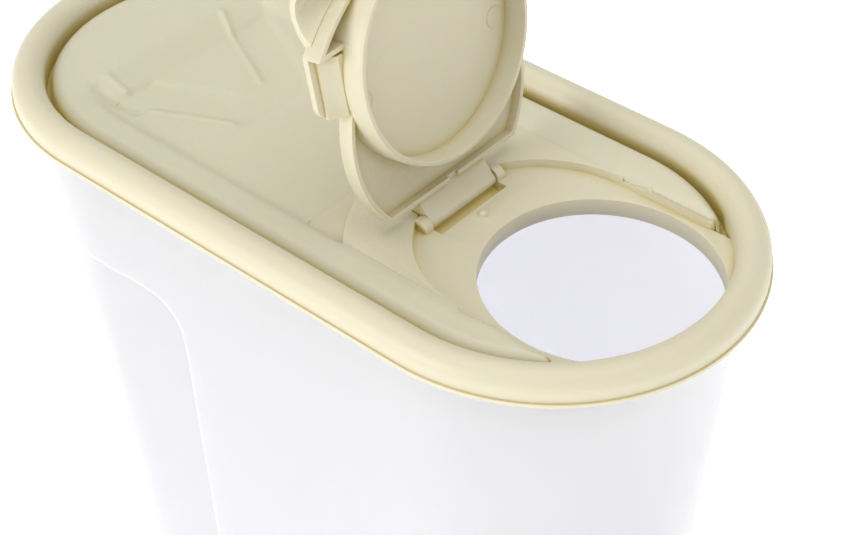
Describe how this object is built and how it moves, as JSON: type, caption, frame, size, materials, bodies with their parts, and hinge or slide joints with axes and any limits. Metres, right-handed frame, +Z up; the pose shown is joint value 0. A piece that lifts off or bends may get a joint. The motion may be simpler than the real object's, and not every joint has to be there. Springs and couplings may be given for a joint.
{
  "type": "cereal container with flip spout",
  "caption": "Tall oval dry-food keeper: tapered tub with hand grips, lift-off lid over a rolled rim, and a hinged spout flap with a plug ring",
  "frame": {"origin": "middle of the base, on the surface that the container stands on", "axes": "+X toward the pour opening, +Y across the lid, +Z up"},
  "size_m": [0.255, 0.125, 0.3548],
  "materials": {
    "milky_plastic": "translucent natural plastic, satin outside",
    "cream_plastic": "fine matte texture"
  },
  "bodies": {
    "container": {"container": "milky_plastic"},
    "lid": {"lid": "cream_plastic"},
    "spout_flap": {"spout_flap": "cream_plastic"}
  },
  "joints": [
    {"name": "lid_lift", "type": "slide", "parent": "container", "child": "lid", "axis": [0, 0, 1], "range_m": [0, 0.04]},
    {"name": "flap_hinge", "type": "hinge", "parent": "lid", "child": "spout_flap", "pos_m": [0.0341, 0, 0.2623], "axis": [0, 1, 0], "range_deg": [0, 101.6]}
  ]
}
